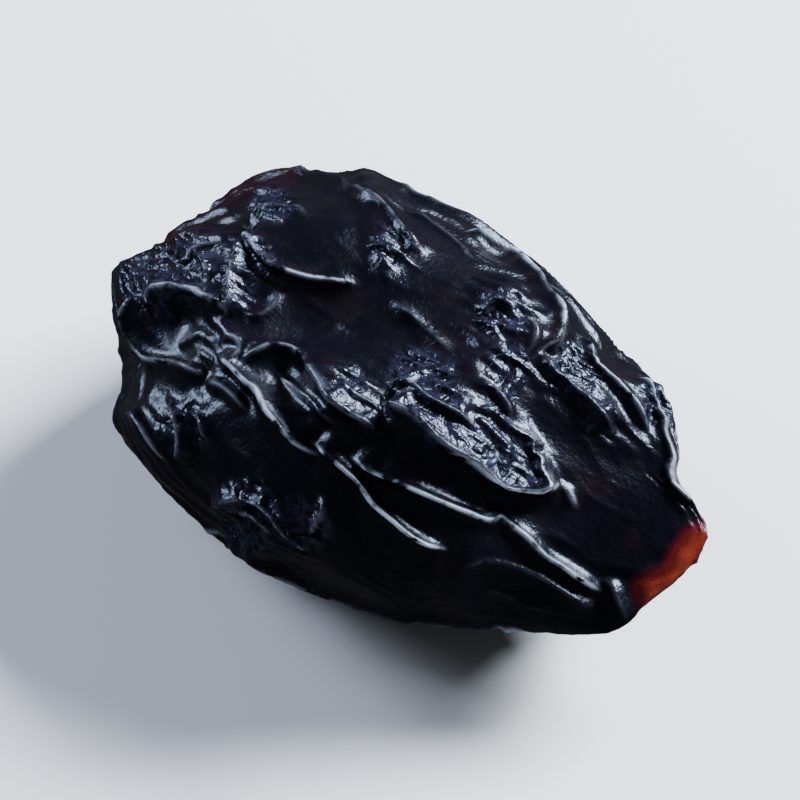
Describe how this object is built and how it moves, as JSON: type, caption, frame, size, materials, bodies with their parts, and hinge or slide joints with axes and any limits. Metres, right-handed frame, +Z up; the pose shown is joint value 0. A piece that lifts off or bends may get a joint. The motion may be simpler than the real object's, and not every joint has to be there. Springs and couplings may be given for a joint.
{
  "type": "prune",
  "caption": "Whole dried plum with deep lengthwise skin folds, a blunt puckered blossom end and a pinched stalk end, lying on its broad side.",
  "frame": {"origin": "on the surface that the prune lies on, under the middle of its bounding box", "axes": "+X along the length, from the blunt blossom end to the pinched stalk end; +Y across the width; +Z up, through the thickness"},
  "size_m": [0.0394, 0.0264, 0.0179],
  "materials": {
    "prune_skin": "near-black violet-brown dried fruit skin, wrinkled, with a moist satin gloss and a red-orange translucent stalk end"
  },
  "bodies": {
    "root": {"prune": "prune_skin"}
  },
  "joints": []
}
